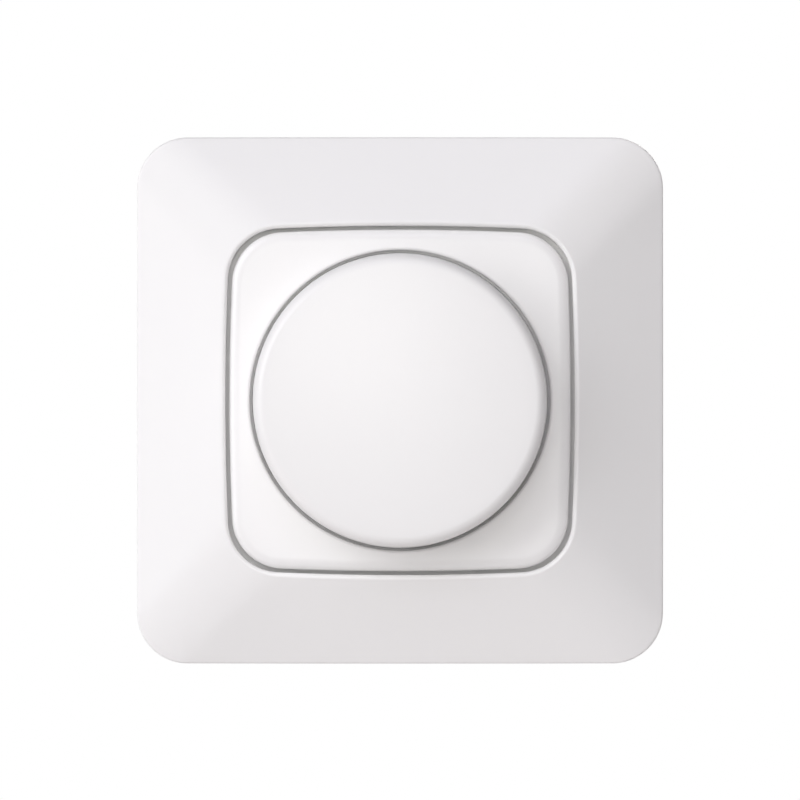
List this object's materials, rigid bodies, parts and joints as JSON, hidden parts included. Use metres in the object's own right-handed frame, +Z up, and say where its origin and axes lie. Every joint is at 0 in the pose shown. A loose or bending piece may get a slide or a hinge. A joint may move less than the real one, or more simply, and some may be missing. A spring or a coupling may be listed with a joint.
{
  "type": "rotary dimmer switch",
  "caption": "Flush wall dimmer: a large push-and-turn knob in a round well of a square cover frame, on an insert with wire terminals for a round wall box.",
  "frame": {"origin": "on the knob's axis, in the plane of the wall's surface, at the centre of the fixing slots", "axes": "+Y into the wall along the knob's axis, so the face looks towards -Y; +Z up; +X to the right as seen from the room"},
  "size_m": [0.085, 0.0482, 0.085],
  "materials": {
    "white_plastic": "satin gloss moulding",
    "grey_plastic": "matt moulding",
    "black_plastic": "matt moulding",
    "natural_nylon": "natural",
    "zinc_steel": "zinc plated",
    "bright_steel": "turned",
    "spring_steel": "drawn wire",
    "aluminium_sheet": "rolled",
    "brass": "machined",
    "contact_bronze": "stamped",
    "copper_wire": "enamelled",
    "ferrite": "sintered",
    "green_board": "solder mask",
    "phenolic_board": "laminate",
    "yellow_plastic": "moulded box",
    "blue_sleeve": "shrunk sleeve",
    "silicone_pad": "matt"
  },
  "bodies": {
    "insert": {"cover_frame": "white_plastic", "centre_plate": "white_plastic", "locknut": "brass", "pot_bushing": "bright_steel", "pot_case": "black_plastic", "resistor_wafer": "phenolic_board", "pot_pins": "contact_bronze", "switch_body": "black_plastic", "fixed_contact_1": "contact_bronze", "fixed_contact_2": "contact_bronze", "return_spring": "spring_steel", "support_plate": "zinc_steel", "heat_plate": "aluminium_sheet", "base_casing": "grey_plastic", "casing_screws": "zinc_steel", "circuit_board": "green_board", "choke_core": "ferrite", "choke_winding": "copper_wire", "film_capacitor": "yellow_plastic", "electrolytic_capacitor": "blue_sleeve", "power_transistor_1": "black_plastic", "power_transistor_2": "black_plastic", "thermal_pad_1": "silicone_pad", "thermal_pad_2": "silicone_pad", "control_chip": "black_plastic", "terminal_cage_1": "brass", "terminal_cage_2": "brass", "terminal_cage_3": "brass", "terminal_screws": "zinc_steel"},
    "plunger": {"switch_plunger": "natural_nylon", "contact_bridge": "contact_bronze"},
    "knob": {"knob": "white_plastic", "socket_ring": "spring_steel", "shaft": "bright_steel", "shaft_clip": "spring_steel"},
    "wiper": {"wiper_rotor": "natural_nylon", "wiper_contact": "contact_bronze"}
  },
  "joints": [
    {"name": "push", "type": "slide", "parent": "insert", "child": "plunger", "axis": [0, 1, 0], "range_m": [0, 0.0016], "stiffness_N_per_m": 1500, "springref_m": -0.0015, "deforming": ["return_spring"]},
    {"name": "knob_turn", "type": "hinge", "parent": "plunger", "child": "knob", "pos_m": [0, 0, 0], "axis": [0, 1, 0], "range_deg": [-140, 140]},
    {"name": "wiper_turn", "type": "hinge", "parent": "insert", "child": "wiper", "pos_m": [0, 0, 0], "axis": [0, 1, 0], "range_deg": [-140, 140]}
  ],
  "couplings": [
    {"joint": "wiper_turn", "follows": "knob_turn", "ratio": 1}
  ]
}
